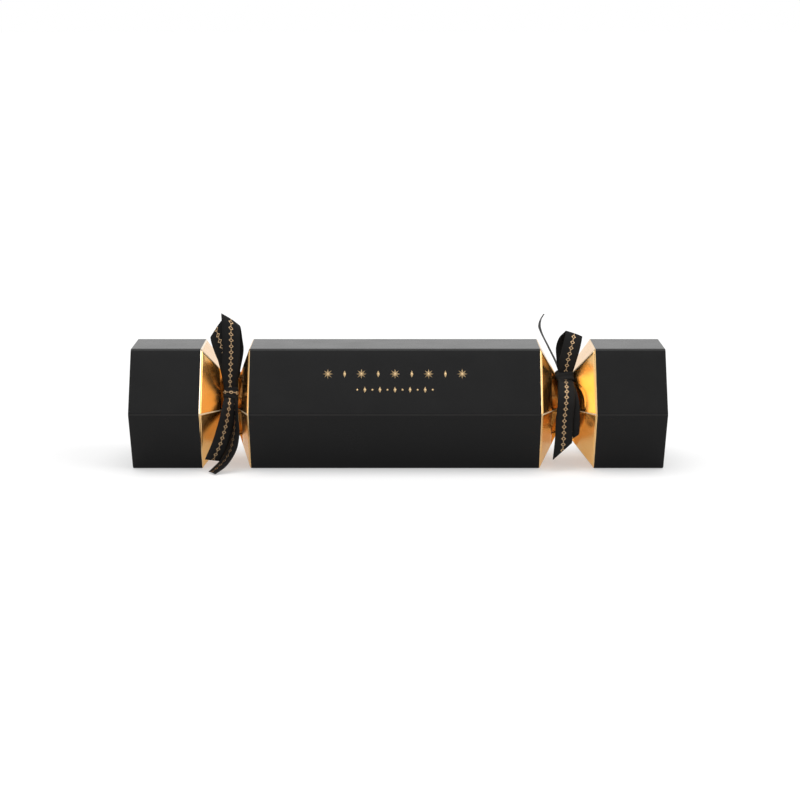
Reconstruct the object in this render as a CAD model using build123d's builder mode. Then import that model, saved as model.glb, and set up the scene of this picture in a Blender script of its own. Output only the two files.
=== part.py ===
"""A hexagonal card Christmas cracker with pleated gold necks, tied ribbons, a snap and a gift inside.

X runs along the cracker, Y to its back and Z up. The origin is under the middle of the barrel,
on the panel that the cracker lies on.
"""

import os
from math import atan2, cos, radians, sin

from build123d import *

# Card body
across_flats = 70.0
barrel_length = 168.0
end_length = 41.0
card = 0.6
crease_radius = 1.2
turn_in_depth = 12.0
glue_flap_width = 14.0
tear_gap = 0.3

# Pleated necks
neck_lengths = {"left": 26.5, "right": 30.0}
pinch_setback = {"left": 4.3, "right": 2.5}
throat_length = 5.0
ridge_radius = 18.5
valley_radius = 9.0

# Ribbons
ribbon_width = 10.0
ribbon_thickness = 0.4
bunch_width = 5.0
bunch_thickness = 0.9
ribbon_ease = 0.15
knot_length = 6.0
knot_width = 7.5
knot_height = 4.0
knot_round = 1.5
knot_angles = {"left": 150.0, "right": 126.0}
right_tail_along = 0.5
front_tail_drop = 28.0
tail_slant = 43.0
table_clearance = 0.5

# Snap
snap_width = 7.0
snap_thickness = 0.35
snap_overlap = 30.0
snap_sleeve_length = 24.0
snap_sleeve_wall = 0.3
snap_glue_length = 26.0
snap_stand_off = 0.9
glue_gap = 0.1

# Gift
candle_count = 3
candle_room = 8.8
candle_gap = 0.5
mouth_depth = 8.0
glass_wall = 2.2
glass_base = 4.0
wax_gap = 0.1
wax_headspace = 9.0
wick_diameter = 1.6
wick_above_wax = 6.0
sustainer_diameter = 18.0
sustainer_thickness = 0.5
crown_length = 110.0
crown_diameter = 5.0
crown_bore = 2.4
motto_length = 60.0
motto_diameter = 4.4
motto_bore = 2.0

# Gap between pieces that slide past each other
running_clearance = 0.3

# Sizes that follow from those above
panel_count = 6
panel_angle = 360.0 / panel_count
half_panel = radians(panel_angle / 2)
apothem = across_flats / 2
axis_height = apothem
corner_radius = apothem / cos(half_panel)
inner_apothem = apothem - card
half_barrel = barrel_length / 2
ring_inner_radius = ridge_radius + ribbon_ease
ring_outer_radius = ring_inner_radius + bunch_thickness
sides = {"left": -1, "right": 1}
neck_start = half_barrel + tear_gap
end_start = {side: neck_start + neck_lengths[side] for side in sides}
pinch_distance = {side: neck_start + neck_lengths[side] / 2 - pinch_setback[side] for side in sides}
pinch_x = {side: sign * pinch_distance[side] for side, sign in sides.items()}
half_throat = throat_length / 2
throats = {side: (pinch_distance[side] - half_throat, pinch_distance[side] + half_throat) for side in sides}
fold_lengths = {side: (throats[side][0] - neck_start, end_start[side] - throats[side][1]) for side in sides}

os.makedirs("parts", exist_ok=True)


def save(piece, name):
    """Label a finished piece and write it under its name."""
    piece.part.label = name
    export_step(piece.part, f"parts/{name}.step")


def section_plane(x, drop=0.0):
    """The plane square to the length at x, centred a drop below the axis, with +Y across and +Z up."""
    return Plane(origin=(x, 0, axis_height - drop), x_dir=(0, 1, 0), z_dir=(1, 0, 0))


def corner_plane(angle):
    """The plane through the axis and a hexagon corner, with X along and the corner up."""
    return Plane(
        origin=(0, 0, axis_height),
        x_dir=(1, 0, 0),
        z_dir=(0, -sin(radians(angle)), cos(radians(angle))),
    )


def hexagon(flat_distance, rounding):
    """A rounded hexagon face, lying on a flat side, by the distance from its centre to its flats."""
    with BuildSketch() as face:
        RegularPolygon(flat_distance, panel_count, major_radius=False)
        fillet(face.vertices(), rounding)
    return face.sketch


def fold_section(x, flat_distance):
    """The section of a folded hexagonal card tube at x."""
    with BuildSketch(section_plane(x)) as section:
        add(hexagon(flat_distance, crease_radius))
        add(hexagon(flat_distance - card, crease_radius), mode=Mode.SUBTRACT)
    return section.sketch


# Barrel: the middle tube, closed by a glue flap inside its upper back panel
with BuildPart() as barrel_wrapper:
    extrude(fold_section(-half_barrel, apothem), amount=barrel_length)
    flap_angle = panel_angle / 2
    flap_middle = Location((0, 0), flap_angle) * Location((inner_apothem - card / 2, 0))
    with BuildSketch(section_plane(-half_barrel)):
        with Locations(flap_middle):
            Rectangle(card, glue_flap_width)
    extrude(amount=barrel_length)
save(barrel_wrapper, "barrel_wrapper")

# Ends: the grips, each with its outer edge turned in
for side, sign in sides.items():
    with BuildPart() as end_wrapper:
        outer_edge = sign * (end_start[side] + end_length)
        extrude(fold_section(outer_edge, apothem), amount=-sign * end_length)
        extrude(fold_section(outer_edge, inner_apothem), amount=-sign * turn_in_depth)
    save(end_wrapper, f"{side}_end_wrapper")


def ring_points(x, radius, angle_shift):
    """One point per panel round the axis, at a radius, starting from a hexagon corner plus a shift."""
    angles = [radians(panel * panel_angle + angle_shift) for panel in range(panel_count)]
    return [Vector(x, radius * cos(angle), axis_height + radius * sin(angle)) for angle in angles]


def pleat_skin(stations, corner_radii, ridge, valley):
    """The faces of a pleated skin: flat panels folding down to a six-ridged throat and out again."""
    base_in, throat_in, throat_out, base_out = stations
    ridges = [ring_points(x, ridge, 0) for x in (throat_in, throat_out)]
    valleys = [ring_points(x, valley, panel_angle / 2) for x in (throat_in, throat_out)]
    corners = [ring_points(x, radius, 0) for x, radius in zip((base_in, base_out), corner_radii)]
    outlines = []
    for panel in range(panel_count):
        following = (panel + 1) % panel_count
        for rim in range(2):
            first, second = corners[rim][panel], corners[rim][following]
            dip = valleys[rim][panel]
            outlines.append((first, second, dip))
            outlines.append((first, dip, ridges[rim][panel]))
            outlines.append((second, dip, ridges[rim][following]))
        dips = (valleys[1][panel], valleys[0][panel])
        for corner_number in (panel, following):
            outlines.append((ridges[0][corner_number], ridges[1][corner_number], *dips))
    return outlines, corners


def rim_outlines(outer, inner):
    """The flat rim faces between an outer and an inner ring of corners."""
    pairs = [(panel, (panel + 1) % panel_count) for panel in range(panel_count)]
    return [(outer[a], outer[b], inner[b], inner[a]) for a, b in pairs]


# Necks: one pleated sheet each, with the card's thickness square to its folds
wall_run = ridge_radius * sin(half_panel)
wall_rise = ridge_radius * cos(half_panel) - valley_radius
wall_angle = atan2(wall_run, wall_rise)
inner_valley = valley_radius - card / sin(wall_angle)
inner_ridge = ridge_radius - card / sin(wall_angle - half_panel)
fold_drop = apothem - valley_radius
for side, sign in sides.items():
    stations = [sign * x for x in (neck_start, *throats[side], end_start[side])]
    rim_widths = [card / cos(atan2(fold_drop, length)) for length in fold_lengths[side]]
    inner_corners = [(apothem - width) / cos(half_panel) for width in rim_widths]
    skin, skin_rims = pleat_skin(stations, [corner_radius, corner_radius], ridge_radius, valley_radius)
    lining, lining_rims = pleat_skin(stations, inner_corners, inner_ridge, inner_valley)
    rims = [face for pair in zip(skin_rims, lining_rims) for face in rim_outlines(*pair)]
    with BuildPart() as neck_pleats:
        add(Solid(Shell([Face(Wire.make_polygon(outline)) for outline in skin + lining + rims])))
    save(neck_pleats, f"{side}_neck_pleats")

# Ribbon bands and knots: the ribbon bunched round each pinch, with the knot seated on it
for side in sides:
    with BuildPart() as ribbon_band:
        with BuildSketch(section_plane(pinch_x[side] - bunch_width / 2)):
            Circle(ring_outer_radius)
            Circle(ring_inner_radius, mode=Mode.SUBTRACT)
        extrude(amount=bunch_width)
    save(ribbon_band, f"{side}_ribbon_band")

    knot_angle = radians(knot_angles[side])
    outward = Vector(0, cos(knot_angle), sin(knot_angle))
    knot_seat = Vector(pinch_x[side], 0, axis_height) + outward * (ring_outer_radius + ribbon_ease)
    with BuildPart() as ribbon_knot:
        with BuildSketch(Plane(origin=knot_seat, x_dir=(1, 0, 0), z_dir=outward)):
            RectangleRounded(knot_length, knot_width, knot_round)
        extrude(amount=knot_height)
        fillet(ribbon_knot.faces().sort_by(Axis((0, 0, 0), outward)).last.edges(), knot_round)
    save(ribbon_knot, f"{side}_ribbon_knot")


def ribbon_plane(side, along, across=0.0, turn=0.0, lean=0.0):
    """An upright plane beside a pinch. The ribbon's width is square to it, turned from X and leaning."""
    angle = radians(turn)
    tilt = radians(lean)
    return Plane(
        origin=(pinch_x[side] + along, across, axis_height),
        x_dir=(-sin(angle), cos(angle), 0),
        z_dir=(cos(angle) * cos(tilt), sin(angle) * cos(tilt), -sin(tilt)),
    )


# Ribbon loops and tails: a plane, a route across it and up from the axis, and the radius of each bend
table_level = table_clearance + ribbon_thickness / 2 - axis_height
ribbon_runs = {
    "left_ribbon_upright_loop": (
        ribbon_plane("left", along=-1.7),
        [(-16.4, 14.8), (-20, 25), (-19, 40), (-13, 54.6), (-9, 42), (-11, 31), (-15.6, 23), (-14.5, 14.2)],
        [8, 10, 1.5, 8, 6, 4],
    ),
    "left_ribbon_side_loop": (
        ribbon_plane("left", along=3.6, lean=-16),
        [
            (-17, 20.3), (-18.3, 28), (-17, 39.5), (-14.4, 47.6),
            (-12.6, 39.5), (-14.4, 31), (-16.6, 24.5), (-16.3, 20.3),
        ],
        [8, 10, 0.8, 8, 6, 6],
    ),
    "left_ribbon_front_tail": (
        ribbon_plane("left", along=-5.8, lean=10),
        [(-21.2, 7.2), (-30.8, 4.5), (-32.2, -10), (-31.5, -29)],
        [4, 12],
    ),
    "left_ribbon_long_tail": (
        ribbon_plane("left", along=3.9, across=-27.0, turn=-67),
        [(-1.2, 8), (-1.0, -4), (1.0, -13), (-4, -24), (-11, table_level + 2.4), (-18, table_level)],
        [8, 8, 12, 8],
    ),
    "right_ribbon_upright_loop": (
        ribbon_plane("right", along=-2.3, lean=12),
        [(-8.6, 20.4), (-13, 29), (-10.5, 38), (-4.5, 43.2), (-1, 37), (-2, 28), (-6, 20.4)],
        [4, 8, 1.2, 8, 4],
    ),
    "right_ribbon_hanging_loop": (
        ribbon_plane("right", along=4),
        [
            (-17.2, 12.6), (-24, 9), (-28.6, 2), (-28.4, -12), (-29.3, -18.5),
            (-30.6, -12), (-30.3, 3), (-25, 11), (-16.6, 14.8),
        ],
        [4, 6, 10, 0.8, 10, 6, 4],
    ),
    "right_ribbon_front_tail": (
        ribbon_plane("right", along=right_tail_along),
        [(-16.9, 15.9), (-26.5, 12.5), (-32, 3), (-32.2, -10), (-31.8, -front_tail_drop)],
        [6, 10, 20],
    ),
    "right_ribbon_upright_tail": (
        ribbon_plane("right", along=2.5, across=-5, turn=90),
        [(6.2, 21.5), (8.8, 27), (14.5, 44), (11.8, 53)],
        [10, 4],
    ),
}
slant = radians(tail_slant)
slant_start = (pinch_x["right"] + right_tail_along - ribbon_width / 2, 0, axis_height - front_tail_drop)
tail_cuts = {
    "right_ribbon_front_tail": Plane(origin=slant_start, x_dir=(0, 1, 0), z_dir=(-sin(slant), 0, cos(slant))),
}
for name, (plane, route, bends) in ribbon_runs.items():
    with BuildPart() as ribbon_run:
        with BuildSketch(plane):
            with BuildLine():
                FilletPolyline(*route, radius=bends)
            trace(line_width=ribbon_thickness)
        extrude(amount=ribbon_width / 2, both=True)
        if name in tail_cuts:
            split(bisect_by=tail_cuts[name], keep=Keep.TOP)
    save(ribbon_run, name)

# Snap: two strips that overlap in a paper sleeve, lying in the lower back corner and through the throats
snap_corner_angle = -panel_angle
snap_plane = corner_plane(snap_corner_angle)


def corner_seat(gap, width):
    """How far from the axis a flat strip of a width lies when its edges are a gap from both panels."""
    return (inner_apothem - gap - width / 2 * sin(half_panel)) / cos(half_panel)


sleeve_width = snap_width + 2 * (running_clearance + snap_sleeve_wall)
sleeve_outer = corner_seat(running_clearance, sleeve_width)
right_level = sleeve_outer - snap_sleeve_wall - running_clearance - snap_thickness / 2
left_level = right_level - snap_thickness - running_clearance
snap_levels = {"left": left_level, "right": right_level}
for side, sign in sides.items():
    near_rise, far_rise = (fold_drop / length / cos(half_panel) for length in fold_lengths[side])
    throat_level = (valley_radius - 2 * card) * cos(half_panel) - snap_thickness
    level = snap_levels[side]
    glued_level = corner_seat(glue_gap, snap_width) - snap_thickness / 2
    throat_near = throats[side][0] - snap_stand_off
    throat_far = throats[side][1] + snap_stand_off
    snap_route = [
        (-snap_overlap / 2, level),
        (throat_near - (level - throat_level) / near_rise, level),
        (throat_near, throat_level),
        (throat_far, throat_level),
        (throat_far + (glued_level - throat_level) / far_rise, glued_level),
        (end_start[side] + snap_glue_length, glued_level),
    ]
    with BuildPart() as snap_strip:
        with BuildSketch(snap_plane):
            with BuildLine():
                Polyline(*[(sign * x, height) for x, height in snap_route])
            trace(line_width=snap_thickness)
        extrude(amount=snap_width / 2, both=True)
    save(snap_strip, f"{side}_snap_strip")

sleeve_inner = left_level - snap_thickness / 2
sleeve_bore_height = sleeve_outer - snap_sleeve_wall - sleeve_inner
with BuildPart() as snap_sleeve:
    with BuildSketch(snap_plane):
        with Locations((0, sleeve_outer)):
            sleeve_height = sleeve_bore_height + 2 * snap_sleeve_wall
            Rectangle(snap_sleeve_length, sleeve_height, align=(Align.CENTER, Align.MAX))
    extrude(amount=sleeve_width / 2, both=True)
    with BuildSketch(snap_plane):
        with Locations((0, sleeve_outer - snap_sleeve_wall)):
            Rectangle(snap_sleeve_length, sleeve_bore_height, align=(Align.CENTER, Align.MAX))
    extrude(amount=snap_width / 2 + running_clearance, both=True, mode=Mode.SUBTRACT)
save(snap_sleeve, "snap_sleeve")

# Gift: jar candles lying end to end on the barrel floor, with their mouths to the right
candle_radius = inner_apothem - candle_room / 2
candle_height = (barrel_length - 2 * mouth_depth - (candle_count - 1) * candle_gap) / candle_count
candle_drop = inner_apothem - running_clearance - candle_radius
bore_radius = candle_radius - glass_wall
wax_height = candle_height - glass_base - wax_headspace
for number in range(1, candle_count + 1):
    foot = half_barrel - mouth_depth - number * candle_height - (number - 1) * candle_gap
    lying = section_plane(foot, candle_drop)
    with BuildPart() as candle_glass:
        with BuildSketch(lying):
            Circle(candle_radius)
        extrude(amount=candle_height)
        with BuildSketch(lying.offset(glass_base)):
            Circle(bore_radius)
        extrude(amount=candle_height, mode=Mode.SUBTRACT)
    save(candle_glass, f"candle_{number}_glass")

    with BuildPart() as candle_sustainer:
        with BuildSketch(lying.offset(glass_base)):
            Circle(sustainer_diameter / 2)
        extrude(amount=sustainer_thickness)
    save(candle_sustainer, f"candle_{number}_sustainer")

    with BuildPart() as candle_wick:
        with BuildSketch(lying.offset(glass_base + sustainer_thickness)):
            Circle(wick_diameter / 2)
        extrude(amount=wax_height - sustainer_thickness + wick_above_wax)
    save(candle_wick, f"candle_{number}_wick")

    with BuildPart() as candle_wax:
        with BuildSketch(lying.offset(glass_base)):
            Circle(bore_radius - wax_gap)
            Circle(wick_diameter / 2 + wax_gap, mode=Mode.SUBTRACT)
        extrude(amount=wax_height)
        with BuildSketch(lying.offset(glass_base)):
            Circle(sustainer_diameter / 2 + wax_gap)
        extrude(amount=sustainer_thickness, mode=Mode.SUBTRACT)
    save(candle_wax, f"candle_{number}_wax")


def roll_section(angle, length, diameter, bore):
    """The starting section of a rolled paper that lies in a corner of the barrel, centred on its length."""
    reach = (inner_apothem - running_clearance - diameter / 2) / cos(half_panel)
    with BuildSketch(section_plane(-length / 2)) as section:
        with Locations((reach * cos(radians(angle)), reach * sin(radians(angle)))):
            Circle(diameter / 2)
            Circle(bore / 2, mode=Mode.SUBTRACT)
    return section.sketch


with BuildPart() as paper_crown_roll:
    extrude(roll_section(180 + panel_angle, crown_length, crown_diameter, crown_bore), amount=crown_length)
save(paper_crown_roll, "paper_crown_roll")

with BuildPart() as motto_roll:
    extrude(roll_section(180, motto_length, motto_diameter, motto_bore), amount=motto_length)
save(motto_roll, "motto_roll")
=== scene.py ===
"""Looks of a hexagonal card Christmas cracker, in metres, in the frame of its CAD model.

X runs along the cracker, Y to its back and Z up. It lies on one panel, on the floor at z = 0.
"""

from math import cos, pi, radians, sin, tau

import bmesh
import bpy
from mathutils import Matrix, Vector, noise


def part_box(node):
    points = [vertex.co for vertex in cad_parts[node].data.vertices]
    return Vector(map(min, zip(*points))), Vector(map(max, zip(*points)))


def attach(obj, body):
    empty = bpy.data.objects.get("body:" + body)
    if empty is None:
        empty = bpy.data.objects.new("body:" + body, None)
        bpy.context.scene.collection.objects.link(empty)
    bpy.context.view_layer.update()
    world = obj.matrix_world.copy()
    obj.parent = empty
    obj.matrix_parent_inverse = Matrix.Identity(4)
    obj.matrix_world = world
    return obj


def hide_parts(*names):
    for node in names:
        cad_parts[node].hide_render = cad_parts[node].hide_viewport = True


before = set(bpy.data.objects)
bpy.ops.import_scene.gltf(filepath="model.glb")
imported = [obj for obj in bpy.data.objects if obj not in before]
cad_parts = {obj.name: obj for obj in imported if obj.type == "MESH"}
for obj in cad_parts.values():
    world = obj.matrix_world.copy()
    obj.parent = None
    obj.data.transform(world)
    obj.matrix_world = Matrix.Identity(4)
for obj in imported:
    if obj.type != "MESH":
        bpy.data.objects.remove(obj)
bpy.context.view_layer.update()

# The same foil ripples each run: without a seed, the clock offsets noise_vector
noise.seed_set(1)

MM = 0.001
SIDES = {"left": -1, "right": 1}
WELD = 0.01 * MM

# Camera, as the photograph was taken
LENS = 107.0
SENSOR = 36
CAMERA_RISE = radians(9.8)
CAMERA_DISTANCE = 1.390
CAMERA_TARGET = Vector((2.85, 0, 36.76)) * MM

# Studio
FLOOR_RADIUS = 14
FLOOR_GREY = 0.6
FLOOR_GLOW = 0.42
UNSEEN_WORLD = 0.5

# Card body: the barrel's size comes from the frame
BARREL_LOW, BARREL_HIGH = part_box("barrel_wrapper")
HALF_BARREL = BARREL_HIGH[0]
APOTHEM = (BARREL_HIGH[2] - BARREL_LOW[2]) / 2
AXIS = BARREL_LOW[2] + APOTHEM
PANEL_ANGLE = radians(60)
CORNER_SHARE = 1 / cos(PANEL_ANGLE / 2)
CARD = 0.6 * MM
CREASE = 1.15 * MM
ROLL_OVER = 0.8 * MM
ROLL_REACH = ROLL_OVER * 1.6
LINING_SETBACK = 1.4 * MM
TURN_IN = 12 * MM
LIP_STEP = 0.05 * MM
GOLD_MARGIN = 0.7 * MM
EDGE_OVERRUN = 1 * MM
FLAT_FACE_WEIGHT = 80

# Pinched necks
RIDGE = 18.5 * MM
VALLEY = 9 * MM
HALF_THROAT = 2.5 * MM
TEAR_GAP = 0.06 * MM
GRIP_LAP = 0.02 * MM
FOIL_CARD = 0.4 * MM
RIDGE_CREASE = 0.42
BEND_CREASE = 0.8
FOIL_CUTS = 3
FOIL_LEVELS = 2
RIPPLE_SCALE = 140
RIPPLE_HEIGHT = 0.015 * MM
# How far down each of its six ridges a cone stays flat, from the back round by the top:
# the cone at the barrel, then the cone at the grip
FLAT_SHARES = {
    "left": ([0.6] * 6, [0.7] * 6),
    "right": ([0.6] * 6, [0.6, 0.6, 0.82, 0.32, 0.6, 0.6]),
}

# Ribbons
RIBBON_WIDTH = 10 * MM
RIBBON_THICKNESS = 0.25 * MM
RIBBON_ROW = 0.9 * MM
RIBBON_COLUMNS = 8
WAVE_SCALE = 90
WAVE_HEIGHT = 0.25
LOOK_AHEAD = 0.2 * MM
WEFT_PITCH = 0.32 * MM
WARP_THREADS = 22
BAND_RADIUS = 19.1 * MM
BAND_HALF_WIDTH = 2.5 * MM
BAND_FOLD = 0.27 * MM
BAND_WANDER = 0.3 * MM

# Chain printed on the ribbons: lozenges with a hollow heart, and a dot between each two
PRINT_PITCH = 3.4 * MM
PRINT_LOZENGE = (1.25 * MM, 1.35 * MM)
PRINT_HEART = (0.75 * MM, 0.8 * MM)
PRINT_DOT = 0.28 * MM

# Stamped shapes: points, outer radius, inner radius
STAR = (8, 3.0 * MM, 1.2 * MM)
LOZENGE = (2, 2.2 * MM, 0.9 * MM)
SMALL_LOZENGE = (2, 1.9 * MM, 0.9 * MM)
DOT = (10, 0.6 * MM, 0.6 * MM)
# Rows of them on the front panel: height, pitch, steps each way, even shape, odd shape
STAMPED_ROWS = [
    (4.8 * MM, 9.6 * MM, 4, STAR, LOZENGE),
    (-4.8 * MM, 4.3 * MM, 5, SMALL_LOZENGE, DOT),
]
STAMP_RELIEF = 0.05 * MM
STAMP_CLEARANCE = 0.012 * MM

# Gift
TURNED_STEPS = 72
TURNED_WELD = 0.002 * MM
TURNED_FACE_WEIGHT = 60
ROLL_STEPS = 36
ROLL_CORE = 0.5
ROLL_CLEARANCE = 0.05 * MM
ROLLED_PAPER = 0.06 * MM
CROWN_POINT = 3 * MM


# Shader arithmetic


class Term:
    """A socket in an expression: each operator adds a Math node to the finish it belongs to."""

    def __init__(self, finish, socket):
        self.finish = finish
        self.socket = socket

    def maths(self, operation, *others):
        return self.finish.maths(operation, self, *others)

    def __add__(self, other):
        return self.maths("ADD", other)

    def __sub__(self, other):
        return self.maths("SUBTRACT", other)

    def __rsub__(self, other):
        return self.finish.maths("SUBTRACT", other, self)

    def __mul__(self, other):
        return self.maths("MULTIPLY", other)

    def __truediv__(self, other):
        return self.maths("DIVIDE", other)

    def __abs__(self):
        return self.maths("ABSOLUTE")

    def __gt__(self, other):
        return self.maths("GREATER_THAN", other)

    def __lt__(self, other):
        return self.maths("LESS_THAN", other)

    __radd__ = __add__


class Finish:
    """A procedural material round one Principled shader."""

    def __init__(self, name, constants=None):
        self.material = bpy.data.materials.new(name)
        self.material.use_nodes = True
        self.tree = self.material.node_tree
        self.shader = self.tree.nodes["Principled BSDF"]
        self.set(constants or {})

    def feed(self, node, values):
        for key, value in values.items():
            if isinstance(value, Term):
                self.tree.links.new(value.socket, node.inputs[key])
            else:
                node.inputs[key].default_value = value

    def set(self, values):
        self.feed(self.shader, values)

    def node(self, kind, settings=None, values=None, output=0):
        node = self.tree.nodes.new(kind)
        for key, value in (settings or {}).items():
            setattr(node, key, value)
        self.feed(node, values or {})
        if isinstance(output, tuple):
            return [Term(self, node.outputs[name]) for name in output]
        return Term(self, node.outputs[output])

    def maths(self, operation, *terms):
        return self.node("ShaderNodeMath", {"operation": operation}, dict(enumerate(terms)))

    def place(self):
        return self.node("ShaderNodeTexCoord", output="Object")

    def axes(self, vector):
        return self.node("ShaderNodeSeparateXYZ", None, {0: vector}, ("X", "Y", "Z"))

    def cloud(self, where, scale, detail):
        values = {"Vector": where, "Scale": scale, "Detail": detail}
        return self.node("ShaderNodeTexNoise", None, values)

    def fade(self, value, start, end):
        limits = {"Value": value, "From Min": start, "From Max": end}
        return self.node("ShaderNodeMapRange", {"interpolation_type": "SMOOTHSTEP"}, limits)

    def mix(self, factor, first, second):
        """A blend of two colours, by the numbers of a Mix node's factor and colour sockets."""
        values = {0: factor, 6: first, 7: second}
        return self.node("ShaderNodeMix", {"data_type": "RGBA"}, values, 2)

    def bump(self, height, distance, strength=1.0):
        values = {"Height": height, "Distance": distance, "Strength": strength}
        return self.node("ShaderNodeBump", None, values)


def axis_angle(y, z):
    """The angle of a place round the cracker's axis."""
    return (z - AXIS).maths("ARCTAN2", y)


def hue(red, green, blue):
    return (red, green, blue, 1.0)


GOLD = hue(0.91, 0.515, 0.155)
PALE_GOLD = hue(0.95, 0.595, 0.25)
# Pale gold: real wear on the foil's folds, and a painted highlight on the left grip's upper gold
# strip
WORN_AND_HIGHLIGHT_GOLD = hue(0.94, 0.78, 0.55)
EDGE_GOLD = hue(0.84, 0.56, 0.27)
PRINT_GOLD = hue(0.50, 0.34, 0.19)
BLACK = hue(0.0040, 0.0040, 0.0041)
SOFT_BLACK = hue(0.0060, 0.0059, 0.0060)
# Crease line colour: partly rubbed wear, partly a painted highlight
RUBBED_AND_HIGHLIGHT = hue(0.030, 0.029, 0.028)


# Finishes


def printed_card(name, gold_strips, lit_upper_gold):
    """Matt laminated black card, rubbed along its creases with a painted highlight there too, and
    gold beside the necks, whose upper half can take a paler painted highlight.
    """
    card = Finish(name, {"Specular IOR Level": 0.15})
    where = card.place()
    x, y, z = card.axes(where)
    mottle = card.cloud(where, scale=60, detail=3)
    grain = card.cloud(where, scale=2200, detail=2)
    wander = (card.cloud(where, scale=300, detail=2) - 0.5) * (0.25 * MM)
    gold = 0.0
    for start, end in gold_strips:
        gold = gold + (x + wander > start) * (x + wander < end)
    turn = axis_angle(y, z) / PANEL_ANGLE
    off_crease = abs(turn - turn.maths("ROUND"))
    patchy = 0.5 + card.cloud(where, scale=160, detail=3) * 0.5
    # Lighter line along each crease: partly rubbed wear, partly a painted highlight
    rub_and_highlight = card.fade(off_crease, start=0.020, end=0.004) * patchy
    colour = card.mix(mottle, BLACK, SOFT_BLACK)
    colour = card.mix(rub_and_highlight * 0.8, colour, RUBBED_AND_HIGHLIGHT)
    # The gold strips' upper half takes a second colour, paler on the left grip: a painted
    # highlight
    upper = card.fade(z, start=AXIS - 2 * MM, end=AXIS + 2 * MM)
    colour = card.mix(gold, colour, card.mix(upper, EDGE_GOLD, lit_upper_gold))
    card.set({
        "Base Color": colour,
        "Metallic": gold,
        "Roughness": 0.21 + mottle * 0.08 - gold * 0.05,
        "Normal": card.bump(grain * 0.35 + mottle, distance=0.03 * MM),
    })
    return card.material


def plain_card():
    """The unprinted inner face of the card: black through, fibrous and dull."""
    card = Finish("card inside")
    fibre = card.cloud(card.place(), scale=900, detail=4)
    card.set({
        "Base Color": card.mix(fibre, hue(0.016, 0.0158, 0.0155), hue(0.03, 0.0295, 0.029)),
        "Roughness": 0.72 + fibre * 0.15,
        "Normal": card.bump(fibre, distance=0.06 * MM),
    })
    return card.material


def gold_foil():
    """Satin gold foil under clear lacquer: softly rippled, and worn to paper along its folds."""
    foil = Finish("gold foil", {"Coat Weight": 0.3, "Coat Roughness": 0.06})
    where = foil.place()
    ripple = foil.cloud(where, scale=70, detail=2)
    crinkle = foil.cloud(where, scale=520, detail=4)
    fold = foil.node("ShaderNodeAttribute", {"attribute_name": "fold"}, output="Fac")
    worn = foil.fade(fold + crinkle * 0.015, start=0.968, end=0.994)
    colour = foil.mix(foil.fade(ripple, start=0.3, end=0.75), GOLD, PALE_GOLD)
    foil.set({
        "Base Color": foil.mix(worn, colour, WORN_AND_HIGHLIGHT_GOLD),
        "Metallic": 1 - worn * 0.7,
        "Roughness": 0.17 + crinkle * 0.10 + worn * 0.2,
        "Normal": foil.bump(ripple + crinkle * 0.05, distance=0.03 * MM),
    })
    return foil.material


def stamped_gold():
    """Thin gold leaf stamped on the card: duller than the foil, and uneven where it took badly."""
    leaf = Finish("stamped gold", {"Metallic": 1.0})
    where = leaf.place()
    patch = leaf.cloud(where, scale=420, detail=3)
    grain = leaf.cloud(where, scale=2600, detail=2)
    leaf.set({
        "Base Color": leaf.mix(patch, hue(0.44, 0.30, 0.15), hue(0.60, 0.44, 0.25)),
        "Roughness": 0.30 + patch * 0.15,
        "Normal": leaf.bump(patch + grain * 0.4, distance=0.02 * MM),
    })
    return leaf.material


def satin_ribbon(name, printed):
    """Fine woven black satin with firm edges. The printed face carries gold lozenges and dots."""
    ribbon = Finish(name, {
        "Sheen Weight": 0.02, "Sheen Roughness": 0.4, "Specular IOR Level": 0.10,
    })
    weave = ribbon.node("ShaderNodeUVMap", {"uv_map": "ribbon"})
    along, across, _ = ribbon.axes(weave)
    weft = (along * (tau / WEFT_PITCH)).maths("SINE")
    warp = (across * (tau * WARP_THREADS)).maths("SINE")
    edge = ribbon.fade(abs(across), start=0.86, end=0.95)
    streak = ribbon.cloud(ribbon.place(), scale=260, detail=3)
    colour = ribbon.mix(streak, hue(0.0070, 0.0068, 0.0067), hue(0.0115, 0.0112, 0.0110))
    colour = ribbon.mix(edge * 0.35, colour, hue(0.020, 0.0195, 0.0190))
    gold = 0.0
    if printed:
        repeat = along / PRINT_PITCH
        off_lozenge = abs(repeat - repeat.maths("ROUND")) * PRINT_PITCH
        off_dot = PRINT_PITCH / 2 - off_lozenge
        off_middle = abs(across) * (RIBBON_WIDTH / 2)
        lozenge = off_lozenge / PRINT_LOZENGE[0] + off_middle / PRINT_LOZENGE[1] < 1.0
        rest = off_lozenge / PRINT_HEART[0] + off_middle / PRINT_HEART[1] > 1.0
        dot = off_dot * off_dot + off_middle * off_middle < PRINT_DOT ** 2
        gold = lozenge * rest + dot
        colour = ribbon.mix(gold, colour, PRINT_GOLD)
    ribbon.set({
        "Base Color": colour,
        "Metallic": gold * 0.9,
        "Roughness": 0.52 + streak * 0.12 - gold * 0.16,
        "Normal": ribbon.bump(weft * 0.5 + warp * 0.25 + edge * 0.8, 0.03 * MM, strength=0.8),
    })
    return ribbon.material


def jar_glass():
    """Clear pressed glass with a faint orange-peel surface."""
    glass = Finish("jar glass", {
        "Transmission Weight": 1.0, "IOR": 1.5, "Base Color": hue(0.96, 0.985, 0.975),
    })
    peel = glass.cloud(glass.place(), scale=90, detail=2)
    glass.set({
        "Roughness": 0.015 + peel * 0.03,
        "Normal": glass.bump(peel, distance=0.06 * MM),
    })
    return glass.material


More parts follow.
